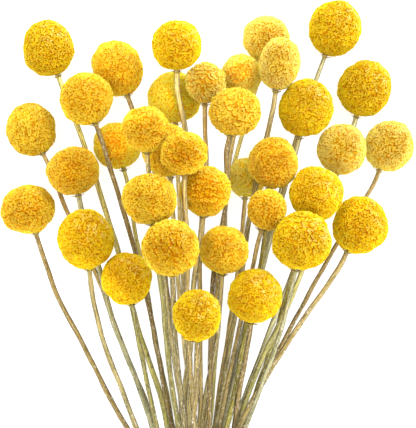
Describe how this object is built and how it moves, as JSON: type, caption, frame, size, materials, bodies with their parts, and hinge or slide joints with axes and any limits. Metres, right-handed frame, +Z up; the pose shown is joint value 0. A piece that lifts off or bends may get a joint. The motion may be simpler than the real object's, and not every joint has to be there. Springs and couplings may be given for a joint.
{
  "type": "bunch of dried billy buttons",
  "caption": "Bunch of dried billy buttons: round golden flower heads of tightly packed florets on thin straw-coloured stems, bound with twine near the cut ends and lying on its side.",
  "frame": {"origin": "middle of the bunch's footprint, on the surface it lies on", "axes": "+Y from the cut ends to the flower heads, +X across the fan of stems, +Z up from the surface"},
  "size_m": [0.2112, 0.4236, 0.0842],
  "materials": {
    "lemon_florets": "dry, matt, finely grained lemon-gold florets",
    "gold_florets": "dry, matt, finely grained golden florets",
    "amber_florets": "dry, matt, finely grained deep golden florets",
    "dusty_florets": "dry, matt, pale mustard florets with a bloom of fine hairs",
    "straw_stems": "dry straw-coloured stem, finely ribbed, with patches of pale wool",
    "olive_stems": "dry olive stem, finely ribbed",
    "brown_stems": "dry brown stem, finely ribbed",
    "twine": "matt natural twine"
  },
  "bodies": {
    "root": {"head_01": "gold_florets", "head_02": "gold_florets", "head_03": "dusty_florets", "head_04": "lemon_florets", "head_05": "lemon_florets", "head_06": "gold_florets", "head_07": "lemon_florets", "head_08": "dusty_florets", "head_09": "gold_florets", "head_10": "dusty_florets", "head_11": "lemon_florets", "head_12": "gold_florets", "head_13": "amber_florets", "head_14": "dusty_florets", "head_15": "dusty_florets", "head_16": "dusty_florets", "head_17": "gold_florets", "head_18": "dusty_florets", "head_19": "lemon_florets", "head_20": "amber_florets", "head_21": "gold_florets", "head_22": "gold_florets", "head_23": "amber_florets", "head_24": "gold_florets", "head_25": "gold_florets", "head_26": "amber_florets", "head_27": "gold_florets", "head_28": "lemon_florets", "head_29": "gold_florets", "head_30": "lemon_florets", "head_31": "lemon_florets", "head_32": "lemon_florets", "head_33": "gold_florets", "head_34": "lemon_florets", "head_35": "lemon_florets", "head_36": "lemon_florets", "stems_01": "straw_stems", "stems_02": "olive_stems", "stems_03": "straw_stems", "stems_04": "brown_stems", "stems_05": "straw_stems", "stems_06": "olive_stems", "stems_07": "straw_stems", "stems_08": "brown_stems", "stems_09": "straw_stems", "stems_10": "olive_stems", "stems_11": "straw_stems", "stems_12": "brown_stems", "stems_13": "straw_stems", "stems_14": "olive_stems", "stems_15": "straw_stems", "stems_16": "brown_stems", "stems_17": "straw_stems", "stems_18": "olive_stems", "tie": "twine"}
  },
  "joints": []
}
